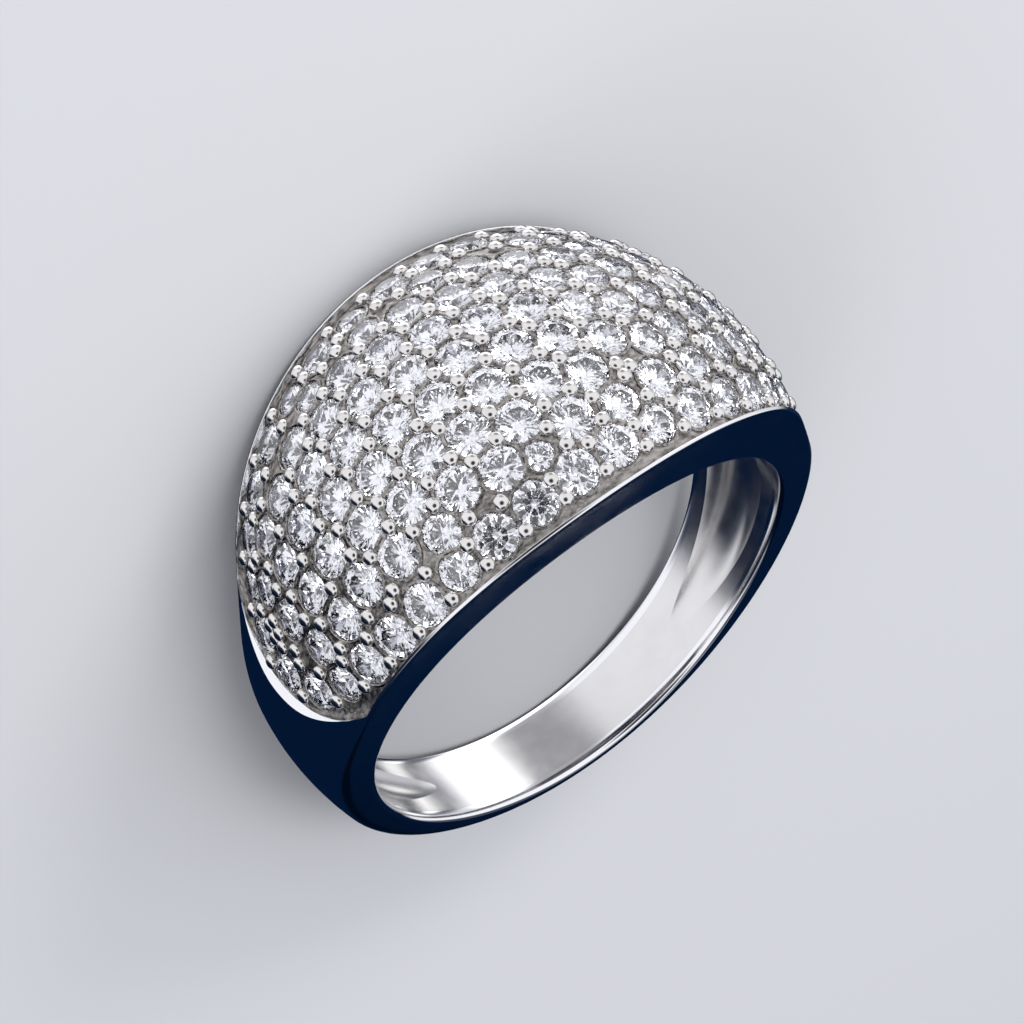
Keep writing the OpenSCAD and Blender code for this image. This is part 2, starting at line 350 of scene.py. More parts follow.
silvers = {
    # colour, roughness from and to, the grain's scale, its depth in mm, its contrast, its stretch
    "polishedSilver": ((0.90, 0.90, 0.91), (0.08, 0.15), 700.0, 0.0004, 0.03, 1.0),
    "satinSilver": ((0.80, 0.79, 0.78), (0.17, 0.27), 900.0, 0.0008, 0.08, 1.0),
    "fieldSilver": ((0.58, 0.55, 0.51), (0.2, 0.5), 3100.0, 0.11, 0.72, 2.0),
    "seatSilver": ((0.86, 0.86, 0.89), (0.02, 0.12), 5000.0, 0.004, 0.05, 1.0),
    "beadSilver": ((0.82, 0.80, 0.77), (0.06, 0.16), 3000.0, 0.001, 0.1, 1.0),
    "collarSilver": ((0.50, 0.47, 0.44), (0.15, 0.35), 6500.0, 0.04, 0.75, 1.0),
}
polishedSilver, satinSilver, fieldSilver, seatSilver, beadSilver, collarSilver = [
    metalMaterial(name, *look) for name, look in silvers.items()
]
clearStone = stoneMaterial("clearStone", ((0.995, 0.995, 1.0), (0.94, 0.95, 1.0)), 900.0, 2.16)
print("materials made")

# Polished body: how finely it is divided, and how far its edges are rounded, in mm
bodyShape = {
    "domeSteps": 120,
    "sideSteps": 68,
    "backSteps": 34,
    "recessDepth": 1.03,      # under the field plate
    "tipShort": 0.004,        # how far short of the field's tip its last section is
    "rimRound": 0.05,         # both edges of the rim
    "bevelW": 0.25,           # bevel round the ends of the field
    "bevelSlope": 0.8,
    "bevelSteps": 22,
    "bevelFull": 0.5,         # its full width lasts this far along the finger, and fades out over
    "bevelFade": 2.9,         # this much more
    "hoopRound": 0.34,        # outer edges of the hoop, clear of the dome
    "boreRound": 0.07,        # edge of the bore at the dome
    "boreRoundA": 0.42,       # and at the hoop, along the finger
    "boreRoundOut": 0.2,      # and at the hoop, across it
    "lipRound": 0.12,
    "roundStart": 14.0,       # length along the crown line where the hoop's rounding begins
    "roundFull": 20.0,
    "roundDown": 0.8,         # how far the outer edge's rounding goes down the wall, over its width
    "bevelStart": 0.6,        # most of the bevel's width that the rim's rounding may take
    "flatStart": 0.04,        # outside begins this far past the bevel
    "flatShare": 0.2,         # or this share of its width
    "openOver": 3.0,          # the columns of an edge that has ended spread over this length
    "outerShare": 0.45,       # to this share of the outside's half width
    "boreShare": 0.4,         # and of the bore's
}
# Columns of each stretch of the section
sectionSteps = {
    "recess": 8,
    "rimCorner": 5,
    "bevel": 4,
    "outside": 12,
    "edgeCorner": 7,
    "wall": 9,
    "boreCorner": 7,
    "lipCorner": 6,
    "lip": 7,
    "hollow": 22,
}
# Length along the crown line to the bevel's tip, which lies on the link too
bevelTip = fieldTip + bodyShape["bevelW"] / math.sin(linkAngle)


def bodyStations():
    # lengths along the crown line, close together where the field, its bevel and the groove end, and
    # whether each is in the field; the tip of the field is there twice, with the field and without
    rise = (fieldTip - bodyShape["tipShort"]) * np.sin(np.linspace(0, np.pi / 2, bodyShape["domeSteps"]))
    bevel = rise[-1] + (bevelTip - rise[-1]) * np.sin(np.linspace(0, np.pi / 2, bodyShape["bevelSteps"]))
    side = np.linspace(0, np.pi, bodyShape["sideSteps"])
    side = bevelTip + (grooveEnd - bevelTip) * (1 - np.cos(side)) / 2
    back = grooveEnd + (halfLoop - grooveEnd) * np.linspace(0, 1, bodyShape["backSteps"]) ** 1.3
    half = np.concatenate([rise, bevel, side[1:], back[1:]])
    inField = np.arange(len(half)) < len(rise)
    return np.concatenate([-half[:0:-1], half[:-1]]), np.concatenate([inField[:0:-1], inField[:-1]])


def roundCorner(before, corner, after, steps):
    # curve of the second degree that leaves towards the corner and arrives from it
    w = np.linspace(0, 1, steps)[None, :, None]
    return (1 - w) ** 2 * before[:, None] + 2 * w * (1 - w) * corner[:, None] + w ** 2 * after[:, None]


def hollowOut(t, a):
    # distance out of the hollow's ball and of the groove's ring, at a along the finger
    angle, centreSide, centreUp = crownLine(t)
    hitBall = centreSide * np.sin(angle) + (centreUp - domeRise) * np.cos(angle)
    offBall = centreSide ** 2 + (centreUp - domeRise) ** 2
    ball = np.sqrt(np.maximum(hitBall ** 2 - offBall - a ** 2 + ringShape["hollowR"] ** 2, 0)) - hitBall
    hitRing = centreSide * np.sin(angle) + (centreUp - grooveRise) * np.cos(angle)
    offRing = centreSide ** 2 + (centreUp - grooveRise) ** 2
    ringR = grooveMiddle + np.sqrt(np.maximum(grooveR ** 2 - a ** 2, 0))
    ring = np.sqrt(hitRing ** 2 - offRing + ringR ** 2) - hitRing
    return np.maximum(ball, np.where(np.abs(a) < grooveR, ring, 0))


def bodySection(t, inField):
    # half of the closed section from the middle of the outside to the middle of the inside,
    # as distance out and a along the finger, for every station at once
    angle, centreSide, centreUp = crownLine(t)
    tilt = np.cos(angle)
    roundRun = bodyShape["roundFull"] - bodyShape["roundStart"]
    away = smoothStep((np.abs(t) - bodyShape["roundStart"]) / roundRun)

    def pair(out, a):
        # one point in the section of every station
        return np.stack([out + 0 * t, a + 0 * t], axis=-1)

    def spread(first, last, steps, depth):
        # even steps from first to last along the arc that lies a depth under the outer one
        a = first[:, None] + (last - first)[:, None] * np.linspace(0, 1, steps)[None, :]
        return np.stack([outAt(a, depth[:, None]), a], axis=-1)

    def recessWall(depth):
        # point of the recess's wall at a depth
        a = fieldEdgeAt(t, fieldA, depth)
        return pair(outAt(a, depth), a)

    def sink(a):
        # depth of the bevel, by how far a point is outside the round end
        below = np.maximum(endCentre - centreUp - outAt(a) * tilt, 0)
        beyond = np.maximum(np.hypot(below, a) - ringShape["endR"], 0)
        return bodyShape["bevelSlope"] * np.maximum(bevelWidth(a) - beyond, 0)

    def wallPoint(out, inset=0.0):
        # point of the side wall, or of a wall set in from it, at a distance out
        return pair(out, wallAt(centreUp + out * tilt, inset))

    # outer edge of the side wall, where it meets the outer arc
    edgeA = np.full_like(t, 4.0)
    for step in range(settleRounds):
        edgeA = wallAt(centreUp + outAt(edgeA) * tilt)
    edgeOut = outAt(edgeA)
    # bore, in this section
    hit = centreSide * np.sin(angle) + centreUp * tilt
    boreOut = np.sqrt(hit ** 2 - centreSide ** 2 - centreUp ** 2 + boreR ** 2) - hit
    boreUp = centreUp + boreOut * tilt
    boreA = wallAt(boreUp)

    # field's recess, whose columns open again past the bevel at its tip as plain outer surface
    past = smoothStep((np.abs(t) - bevelTip) / bodyShape["openOver"])
    fieldA = np.where(inField, fieldEdge(t), bodyShape["outerShare"] * edgeA * past)
    zero = np.zeros_like(t)
    depth = np.where(inField, bodyShape["recessDepth"], sink(zero))
    rim = bodyShape["rimRound"]
    bevelA = np.maximum(fieldEdge(t, True), fieldA + rim * np.where(inField, 1, past))
    topDepth = sink(fieldA)
    wallDepth = np.where(inField, topDepth + rim, depth)
    sections = [spread(zero, fieldEdgeAt(t, fieldA, depth), sectionSteps["recess"], depth)]
    for share in (0.35, 0.7):
        sections.append(recessWall(depth + (wallDepth - depth) * share)[:, None])
    topA = fieldA + np.minimum(rim, (bevelA - fieldA) * bodyShape["bevelStart"])
    onTop = pair(outAt(topA, sink(topA)), topA)
    rimCorner = pair(outAt(fieldA, topDepth), fieldA)
    sections.append(roundCorner(recessWall(wallDepth), rimCorner, onTop, sectionSteps["rimCorner"]))
    for share in np.linspace(0, 1, sectionSteps["bevel"] + 1)[1:]:
        a = topA + (bevelA - topA) * share
        sections.append(pair(outAt(a, sink(a)), a)[:, None])
    # outer surface up to the rounded outer edge
    edgeRound = rim + (bodyShape["hoopRound"] - rim) * away
    flatStart = np.minimum(bodyShape["flatStart"], (edgeA - edgeRound - bevelA) * bodyShape["flatShare"])
    sections.append(spread(bevelA + flatStart, edgeA - edgeRound, sectionSteps["outside"], zero)[:, :-1])
    beforeEdge = pair(outAt(edgeA - edgeRound), edgeA - edgeRound)
    wallFirst = edgeOut - edgeRound * bodyShape["roundDown"]
    edgeCorner = pair(edgeOut, edgeA)
    sections.append(roundCorner(beforeEdge, edgeCorner, wallPoint(wallFirst), sectionSteps["edgeCorner"]))
    # side wall, down to the rounded edge of the bore
    roundOut = bodyShape["boreRound"] + (bodyShape["boreRoundOut"] - bodyShape["boreRound"]) * away
    roundA = bodyShape["boreRound"] + (bodyShape["boreRoundA"] - bodyShape["boreRound"]) * away
    wallLast = boreOut + roundOut
    for share in np.linspace(0, 1, sectionSteps["wall"])[1:-1]:
        sections.append(wallPoint(wallFirst + (wallLast - wallFirst) * share)[:, None])
    boreCorner = pair(boreOut, boreA)
    afterBore = pair(boreOut, boreA - roundA)
    sections.append(roundCorner(wallPoint(wallLast), boreCorner, afterBore, sectionSteps["boreCorner"]))
    insideFrom = sum(part.shape[1] for part in sections) - 1
    # edge of the hollow or the groove in the bore, and the top of the lip's inner wall
    offBall = np.hypot(centreSide + boreOut * np.sin(angle), boreUp - domeRise)
    offRing = np.hypot(centreSide + boreOut * np.sin(angle), boreUp - grooveRise)
    ballA = np.sqrt(np.maximum(ringShape["hollowR"] ** 2 - offBall ** 2, 0))
    ringA = np.sqrt(np.maximum(grooveR ** 2 - (offRing - grooveMiddle) ** 2, 0))
    lipA = wallAt(boreUp, ringShape["lipW"])
    widest = np.maximum(ballA, ringA)
    cutShort = widest > lipA
    lipTopA = lipA.copy()
    for step in range(settleRounds):
        lipTopA = wallAt(centreUp + hollowOut(t, lipTopA) * tilt, ringShape["lipW"])
    lipTopOut = np.where(cutShort, hollowOut(t, lipTopA), boreOut)
    openPast = bodyShape["boreShare"] * boreA * smoothStep((np.abs(t) - grooveEnd) / bodyShape["openOver"])
    brimA = np.where(np.abs(t) < grooveEnd, np.minimum(lipA, widest), openPast)
    lipTopA = np.where(cutShort, lipTopA, brimA)
    # bore's flat, lip's inner wall and hollow
    for share in (0.25, 0.5, 0.75):
        sections.append(pair(boreOut, boreA - roundA + (brimA + rim - boreA + roundA) * share)[:, None])
    climb = np.minimum(lipTopOut - boreOut, bodyShape["lipRound"])
    aboveLip = boreOut + climb
    upLip = np.where(cutShort, wallAt(centreUp + aboveLip * tilt, ringShape["lipW"]), brimA)
    beforeLip = pair(boreOut, brimA + bodyShape["lipRound"])
    afterLip = pair(aboveLip, upLip)
    sections.append(roundCorner(beforeLip, pair(boreOut, brimA), afterLip, sectionSteps["lipCorner"]))
    for share in np.linspace(0, 1, sectionSteps["lip"])[1:]:
        out = aboveLip + (lipTopOut - aboveLip) * share
        a = np.where(cutShort, wallAt(centreUp + out * tilt, ringShape["lipW"]), brimA)
        sections.append(pair(out, a)[:, None])
    sweep = np.cos(np.linspace(0, np.pi / 2, sectionSteps["hollow"]))[None, 1:]
    arcA = lipTopA[:, None] * sweep
    arcOut = np.maximum(hollowOut(t[:, None], arcA), boreOut[:, None])
    sections.append(np.stack([arcOut, arcA], axis=-1))
    return np.concatenate(sections, axis=1), insideFrom


def makeBody():
    # polished outside, satin in the bore and the hollow
    t, inField = bodyStations()
    half, insideFrom = bodySection(t, inField)
    mirrored = half[:, -2:0:-1] * np.array([1, -1])
    section = np.concatenate([half, mirrored], axis=1)
    points = sectionPoint(t[:, None], section[..., 0], section[..., 1])
    faces = gridFaces(points.shape[0], points.shape[1], closedRows=True)
    column = np.tile(np.arange(points.shape[1]), points.shape[0])
    inside = (column >= insideFrom) & (column < points.shape[1] - insideFrom)
    finishes = (polishedSilver, satinSilver)
    return meshPiece("polishedBody", points.reshape(-1, 3), faces, finishes, 33, inside)


# Stones, in mm and degrees: one row that follows the rim, and rows up and over the dome inside it
stoneShape = {
    "largestR": 0.7,
    "gap": 0.12,
    "rimCount": 38,
    "rimTop": 32.0,            # how far up the sides the rim row reaches
    "rimEnd": 15.35,           # length along the crown line to its ends
    "rimBend": 0.9,
    "seatGap": 0.03,
    "grown": 0.04,             # mm added to each radius, after the beads are placed
    "sunk": 0.055,             # mm that the stones' widest line is under the field's floor
    "tiltSpread": 1.3,         # degrees that a stone may lean in its seat
    "seed": 7,
}
crossRows = [
    # length, angle of the highest stone, angle between stones, number of stones,
    # largest radius as a share of the largest of all
    (-12.8, 9.2, 9.4, 3, 1),
    (-11, 13, 8.8, 4, 1),
    (-9.35, 14.2, 9.4, 4, 1),
    (-7.7, 17.6, 8.8, 5, 1),
    (-6.1, 22.2, 9.1, 6, 1),
    (-4.55, 19, 9.5, 5, 1),
    (-3, 22.3, 9.3, 6, 1),
    (-1.7, 25.2, 9.3, 1, 0.65),
    (-1.46, 17.5, 9.3, 5, 1),
    (0.1, 23, 9.5, 6, 1),
    (1.6, 16.5, 9.4, 5, 1),
    (2, 25, 9.4, 1, 1),
    (3.05, 11.6, 9.4, 4, 1),
    (3.95, 23, 9.4, 1, 1),
    (4.5, 14.4, 9.5, 5, 1),
    (5.9, 21.8, 9.3, 6, 1),
    (7.6, 17.6, 8.8, 5, 1),
    (9.25, 14.2, 9.4, 4, 1),
    (11, 13, 8.8, 4, 1),
    (12.8, 9.2, 9.4, 3, 1),
]


def rimSpots(w):
    # squarish oval in length and angle
    bend = np.sign(np.cos(w)) * np.abs(np.cos(w)) ** stoneShape["rimBend"]
    return np.stack([stoneShape["rimEnd"] * np.sin(w), stoneShape["rimTop"] * bend], axis=-1)


def stoneLayout():
    # the rim row evenly along its oval, then the cross rows. Two neighbours share their distance, less
    # the gap, by the largest radius that each may have, and a stone takes the least of its shares
    w = np.radians(np.arange(361))
    path = onDome(rimSpots(w))
    run = np.concatenate([[0], np.cumsum(np.linalg.norm(np.diff(path, axis=0), axis=1))])
    count = stoneShape["rimCount"]
    rimRow = rimSpots(np.interp((np.arange(count) + 0.5) / count * run[-1], run, w))
    inner = [(t, high - i * apart) for t, high, apart, stones, share in crossRows for i in range(stones)]
    shares = [1.0] * count + [share for t, high, apart, stones, share in crossRows for i in range(stones)]
    spots = np.concatenate([rimRow, np.array(inner)])
    points = onDome(spots)
    distances = np.linalg.norm(points[:, None] - points[None], axis=2)
    np.fill_diagonal(distances, 99)
    limits = stoneShape["largestR"] * np.array(shares)
    fair = (distances - stoneShape["gap"]) * limits[:, None] / (limits[:, None] + limits[None])
    radii = np.minimum(limits, fair.min(axis=1))
    return spots, points, radii


stoneSpots, stonePoints, stoneRadii = stoneLayout()

# Beads, in mm
beadShape = {
    "largestR": 0.24,
    "smallestR": 0.12,
    "gap": 0.05,             # clear of the stones round it
    "apart": 0.45,           # between two beads' centres
    "lift": 0.03,            # centre above the field's floor
    "rimOut": 0.5,           # beads by the rim, outside the line between two stones
    "gapLimit": 2.2,         # largest circle through three stones that counts as a gap
    "reach": 3.6,            # furthest apart that those stones may be
    "wideRoom": 0.5,         # a gap with more room than this gets three beads
    "trioR": 0.28,
}


def spotUnder(points):
    # spot of the outer surface under points near it
    side = np.abs(points[:, 0])
    aboveDome = points[:, 1] - domeRise
    aboveHoop = points[:, 1] - hoopRise
    a = points[:, 2]
    onArc = np.arctan2(side, aboveDome)
    along = side * math.cos(linkAngle) - aboveDome * math.sin(linkAngle)
    onHoop = np.arctan2(side, aboveHoop)
    length = np.where(along < linkLength, arcLength + along,
                      arcLength + linkLength + hoopR * (onHoop - linkAngle))
    flat = np.where(along < linkLength, side * math.sin(linkAngle) + aboveDome * math.cos(linkAngle),
                    np.hypot(side, aboveHoop) - (hoopR - domeR))
    length = np.where(onArc < linkAngle, domeR * onArc, length)
    flat = np.where(onArc < linkAngle, np.hypot(side, aboveDome), flat)
    return np.stack([np.sign(points[:, 0]) * length, np.degrees(np.arctan2(a, flat))], axis=-1)


def roomAt(spots):
    # distance from each spot to the nearest stone's edge
    return (np.linalg.norm(onDome(spots)[:, None] - stonePoints[None], axis=2) - stoneRadii).min(axis=1)


def gapSpots():
    # centres of the circles through three stones that hold no other stone's centre
    p = stonePoints
    near = np.linalg.norm(p[:, None] - p[None], axis=2) < beadShape["reach"]
    i, j, k = np.nonzero(near[:, :, None] & near[None] & near[:, None, :])
    ordered = (i < j) & (j < k)
    i, j, k = i[ordered], j[ordered], k[ordered]
    b = p[j] - p[i]
    c = p[k] - p[i]
    normal = np.cross(b, c)
    bSquared = (b * b).sum(1, keepdims=True)
    cSquared = (c * c).sum(1, keepdims=True)
    toCentre = bSquared * np.cross(c, normal) + cSquared * np.cross(normal, b)
    centres = p[i] + toCentre / (2 * (normal * normal).sum(1, keepdims=True))
    radius = np.linalg.norm(centres - p[i], axis=1)
    nearest = np.linalg.norm(centres[:, None] - p[None], axis=2).min(axis=1)
    return spotUnder(centres[(radius < beadShape["gapLimit"]) & (nearest > radius - 0.001)])


def moved(spots, along, climb):
    # spots shifted by mm along the crown line and up the side
    return spots + np.stack([along, np.degrees(climb / domeR)], axis=-1)


def beadLayout():
    # beads by the rim, then one in each gap or three round the middle of a wide one
    rimRow = stoneSpots[:stoneShape["rimCount"]]
    following = np.roll(rimRow, -1, axis=0)
    stepT = following[:, 0] - rimRow[:, 0]
    stepA = np.radians(following[:, 1] - rimRow[:, 1]) * domeR
    size = np.hypot(stepT, stepA) / beadShape["rimOut"]
    candidates = [moved((rimRow + following) / 2, -stepA / size, stepT / size)]
    gaps = gapSpots()
    trio = np.radians([0, 120, 240])
    trioAlong = beadShape["trioR"] * np.cos(trio)
    trioClimb = beadShape["trioR"] * np.sin(trio)
    for spot, room in zip(gaps, roomAt(gaps)):
        if room > beadShape["wideRoom"]:
            candidates.append(moved(spot, trioAlong, trioClimb))
        else:
            candidates.append(spot[None])
    spots = np.concatenate(candidates)
    room = roomAt(spots) - beadShape["gap"]
    spots = spots[room > beadShape["smallestR"]]
    room = room[room > beadShape["smallestR"]]
    centres = onDome(spots, beadShape["lift"] - fieldDepth)
    distances = np.linalg.norm(centres[:, None] - centres[None], axis=2)
    earlier = np.tril(np.ones_like(distances), -1) > 0
    kept = np.where(earlier, distances, 99).min(axis=1) > beadShape["apart"]
    return spots[kept], np.minimum(beadShape["largestR"], room[kept])


beadSpots, beadRadii = beadLayout()
stoneRadii = stoneRadii + stoneShape["grown"]
print("layout", len(stoneSpots), "stones", len(beadSpots), "beads")


def axesAt(spots, spin):
    # three directions at each spot, the third outwards and the first two turned by spin
    n = facing(spots[:, 0], np.radians(spots[:, 1]))
    helper = np.where(np.abs(n[:, 2:]) < 0.9, [[0, 0, 1.0]], [[0, 1.0, 0]])
    first = np.cross(helper, n)
    first /= np.linalg.norm(first, axis=1, keepdims=True)
    second = np.cross(n, first)
    turned = np.cos(spin)[:, None] * first + np.sin(spin)[:, None] * second
    return turned, np.cross(n, turned), n


def copies(shape, faces, centres, axes, radii):
    # copies of one small shape, each scaled and turned to its place, joined into one mesh
    across, beside, outwards = [axis[:, None, :] for axis in axes]
    local = shape[None] * radii[:, None, None] if shape.ndim == 2 else shape
    x, y, z = local[..., :1], local[..., 1:2], local[..., 2:]
    points = centres[:, None, :] + x * across + y * beside + z * outwards
    offsets = np.arange(len(centres)) * local.shape[1]
    joined = [[corner + offset for corner in face] for offset in offsets.tolist() for face in faces]
    return points.reshape(-1, 3), joined


# Field plate: fills the recess, with a bowl under each stone
plateShape = {
    "rows": 420,
    "columns": 124,
    "bottomColumns": 26,
    "bottomDepth": 1.0,
    "bowlLift": 0.04,        # bowl's centre above the floor
    "ledge": 0.04,           # bowl starts this far inside the stone's edge
    "grip": 1.004,           # the plate's width over the recess's, so that it bites into the wall
    "reach": 1.0,            # only this far above and below a seat is the floor hollowed for it
    "polishDepth": 0.2,      # middle of the polished ball, below the floor
}


def makePlate():
    # grid over the field, at the floor's depth or on the ball of a bowl, above a coarser grid of one
    # depth as its underside
    t = fieldTip * np.sin(np.linspace(-np.pi / 2, np.pi / 2, plateShape["rows"]))
    edge = fieldEdge(t)
    edge[[0, -1]] = 0
    half = fieldEdgeAt(t, edge, fieldDepth) * plateShape["grip"]
    a = half[:, None] * np.linspace(-1, 1, plateShape["columns"])[None, :]
    floor = sectionPoint(t[:, None], outAt(a, fieldDepth), a)
    depth = np.full(a.shape, fieldDepth)
    normals = facing(stoneSpots[:, 0], np.radians(stoneSpots[:, 1]))
    seats = onDome(stoneSpots, plateShape["bowlLift"] - fieldDepth)
    for seat, normal, radius in zip(seats, normals, stoneRadii):
        offset = floor - seat
        high = offset @ normal
        fromAxis = np.sqrt(np.maximum((offset ** 2).sum(axis=-1) - high ** 2, 0))
        bowl = np.sqrt(np.maximum((radius + stoneShape["seatGap"]) ** 2 - fromAxis ** 2, 0))
        inBowl = (fromAxis < radius - plateShape["ledge"]) & (np.abs(high) < plateShape["reach"])
        depth = np.where(inBowl, fieldDepth - plateShape["bowlLift"] + bowl, depth)
    top = sectionPoint(t[:, None], outAt(a, depth), a)
    lowHalf = fieldEdgeAt(t, edge, plateShape["bottomDepth"]) * plateShape["grip"]
    back = lowHalf[:, None] * np.linspace(1, -1, plateShape["bottomColumns"])[None, :]
    bottom = sectionPoint(t[:, None], outAt(back, plateShape["bottomDepth"]), back)
    points = np.concatenate([top, bottom], axis=1)
    faces = gridFaces(points.shape[0], points.shape[1])
    finishes = (fieldSilver, seatSilver)
    piece = meshPiece("fieldPlate", points.reshape(-1, 3), faces, finishes, 50)
    # faces nearer to a stone's middle than its edge are polished
    middles = np.zeros(len(piece.data.polygons) * 3)
    piece.data.polygons.foreach_get("center", middles)
    balls = layDown(onDome(stoneSpots, -fieldDepth - plateShape["polishDepth"]))
    offsets = middles.reshape(-1, 1, 3) - balls[None]
    polished = (np.linalg.norm(offsets, axis=2) < (stoneRadii - plateShape["ledge"]) * mm).any(axis=1)
    piece.data.polygons.foreach_set("material_index", polished.astype(np.int32))
    return piece


# Collar round each stone: a thin raised ring of metal, in mm from the stone's edge and above the floor
collarShape = {
    "sides": 28,
    "profile": [(0.015, -0.11), (0.015, 0.0), (0.045, 0.025), (0.125, 0.01), (0.14, -0.06)],
}


def makeCollars():
    # the profile turned round the axis of each stone
    turn = np.linspace(0, 2 * np.pi, collarShape["sides"], endpoint=False)
    profile = np.array(collarShape["profile"])
    reach = stoneRadii[:, None, None] + profile[None, None, :, 0]
    heights = np.broadcast_to(profile[None, None, :, 1], reach.shape)
    x = reach * np.cos(turn)[None, :, None]
    y = reach * np.sin(turn)[None, :, None]
    local = np.stack([x, y, np.broadcast_to(heights, x.shape)], axis=-1)
    local = local.reshape(len(stoneRadii), -1, 3)
    faces = gridFaces(len(turn), len(profile), closedRows=True)
    centres = onDome(stoneSpots, -fieldDepth)
    points, joined = copies(local, faces, centres, axesAt(stoneSpots, np.zeros(len(stoneSpots))), stoneRadii)
    return meshPiece("stoneCollars", points, joined, (collarSilver,), 50)


# Bead: a small flattened ball with its foot in the floor, pushed a little over the stones' edges
beadMesh = {
    "pushed": 0.14,        # mm wider than the room between the stones
    "widest": 0.275,       # mm
    "raised": 0.05,        # mm that the centres are above those of the solids
    "flat": 0.68,          # height over width
    "sides": 16,
    "rings": 7,
    "lowest": 115.0,       # degrees down from the top
}


def makeBeads():
    # rings of a flattened ball from its top to the lowest angle, closed by a flat foot
    turn = np.linspace(0, 2 * np.pi, beadMesh["sides"], endpoint=False)
    down = np.radians(np.linspace(0, beadMesh["lowest"], beadMesh["rings"] + 1))[1:]
    ring = np.stack([np.sin(down)[:, None] * np.cos(turn), np.sin(down)[:, None] * np.sin(turn),
                     np.cos(down)[:, None] + 0 * turn], axis=-1).reshape(-1, 3)
    shape = np.concatenate([[[0, 0, 1.0]], ring])
    sides = beadMesh["sides"]
    first = [[0, 1 + i, 1 + (i + 1) % sides] for i in range(sides)]
    body = (np.array(gridFaces(beadMesh["rings"], sides)) + 1).tolist()
    last = 1 + (beadMesh["rings"] - 1) * sides
    foot = [[last + i for i in range(sides)]]
    centres = onDome(beadSpots, beadShape["lift"] + beadMesh["raised"] - fieldDepth)
    axes = axesAt(beadSpots, np.zeros(len(beadSpots)))
    radii = np.minimum(beadMesh["widest"], beadRadii + beadMesh["pushed"])
    shape = shape * np.array([1, 1, beadMesh["flat"]])
    points, faces = copies(shape, first + body + foot, centres, axes, radii)
    return meshPiece("beads", points, faces, (beadSilver,), 60)


# Round brilliant cut, as shares of its radius
cutShape = {
    "table": 0.57,
    "crown": 0.28,
    "pavilion": 0.87,
    "girdle": 0.02,
    "starR": 0.79,         # tips of the star facets
    "lowerR": 0.22,        # tips of the lower facets
}


def brilliantShape():
    # table corners, star tips, girdle top and bottom, lower tips and culet; the eight main facets
    # above and below the girdle are flat, so the tips lie in their planes
    main = np.radians(45 * np.arange(8))
    between = main + np.radians(22.5)
    girdle = np.radians(22.5 * np.arange(16))
    crownSlope = (cutShape["crown"] - cutShape["girdle"]) / (1 - cutShape["table"])
    lean = math.cos(math.radians(22.5))
    starUp = cutShape["crown"] - crownSlope * (cutShape["starR"] * lean - cutShape["table"])
    lowerUp = -cutShape["pavilion"] + (cutShape["pavilion"] - cutShape["girdle"]) * cutShape["lowerR"] * lean

    def ring(angles, radius, height):
        return np.stack([radius * np.cos(angles), radius * np.sin(angles), 0 * angles + height], axis=-1)

    points = np.concatenate([
        ring(main, cutShape["table"], cutShape["crown"]),
        ring(between, cutShape["starR"], starUp),
        ring(girdle, 1.0, cutShape["girdle"]),
        ring(girdle, 1.0, -cutShape["girdle"]),
        ring(between, cutShape["lowerR"], lowerUp),
        [[0, 0, -cutShape["pavilion"]]],
    ])
    # where each ring of points begins
    starAt, girdleAt, underAt, lowerAt, culet = 8, 16, 32, 48, 56
    faces = [list(range(8))]
    for i in range(8):
        following = (i + 1) % 8
        star, before = starAt + i, starAt + (i - 1) % 8
        lower, lowerBefore = lowerAt + i, lowerAt + (i - 1) % 8
        g = [girdleAt + (2 * i + k) % 16 for k in range(-1, 3)]
        faces.append([i, following, star][::-1])
        faces.append([i, star, g[1], before][::-1])
        faces.append([star, g[2], g[1]][::-1])
        faces.append([star, g[3], g[2]][::-1])
        faces.append([lower, g[1] + 16, g[2] + 16][::-1])
        faces.append([lower, g[2] + 16, g[3] + 16][::-1])
        faces.append([culet, lowerBefore, g[1] + 16, lower][::-1])
    for k in range(16):
        other = (k + 1) % 16
        faces.append([girdleAt + k, girdleAt + other, underAt + other, underAt + k][::-1])
    return points, faces


def makeStones():
    # each stone is spun at random and leans a little in its seat
    random = np.random.default_rng(stoneShape["seed"])
    count = len(stoneSpots)
    first, second, n = axesAt(stoneSpots, random.uniform(0, 2 * np.pi, count))
    lean = np.radians(random.normal(0, stoneShape["tiltSpread"] / 2, (count, 2)))
    n = n + lean[:, :1] * first + lean[:, 1:] * second
    n /= np.linalg.norm(n, axis=1, keepdims=True)
    first = first - (first * n).sum(axis=1, keepdims=True) * n
    first /= np.linalg.norm(first, axis=1, keepdims=True)
    shape, faces = brilliantShape()
    centres = onDome(stoneSpots, -fieldDepth - stoneShape["sunk"])
    points, joined = copies(shape, faces, centres, (first, np.cross(n, first), n), stoneRadii)
    return meshPiece("stones", points, joined, (clearStone,))


body = makeBody()
plate = makePlate()
collars = makeCollars()
beads = makeBeads()
stones = makeStones()
for piece in (body, plate, collars, beads):
    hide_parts("ring_body")
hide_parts("pave_stones")
print("ring made")

# Floor and light: a pale floor, soft lamps, and a studio tent of light round the ring
stageShape = {
    "floorSize": 3.0,
    "floorColour": (0.66, 0.67, 0.69),
    "floorRoughness": 0.7,
    "tentColour": (1.02, 1.025, 1.08),
}
# place of each lamp in mm, its width and height in mm, its power in watts and its colour
lamps = {
    "key": ((-140, -140, 95), 90, 60, 0.16, (1.0, 0.99, 0.97)),
    "top": ((-40, -60, 240), 160, 110, 0.20, (1.0, 1.0, 1.0)),
    "rightFill": ((190, 30, 120), 80, 120, 0.06, (0.97, 0.98, 1.0)),
}
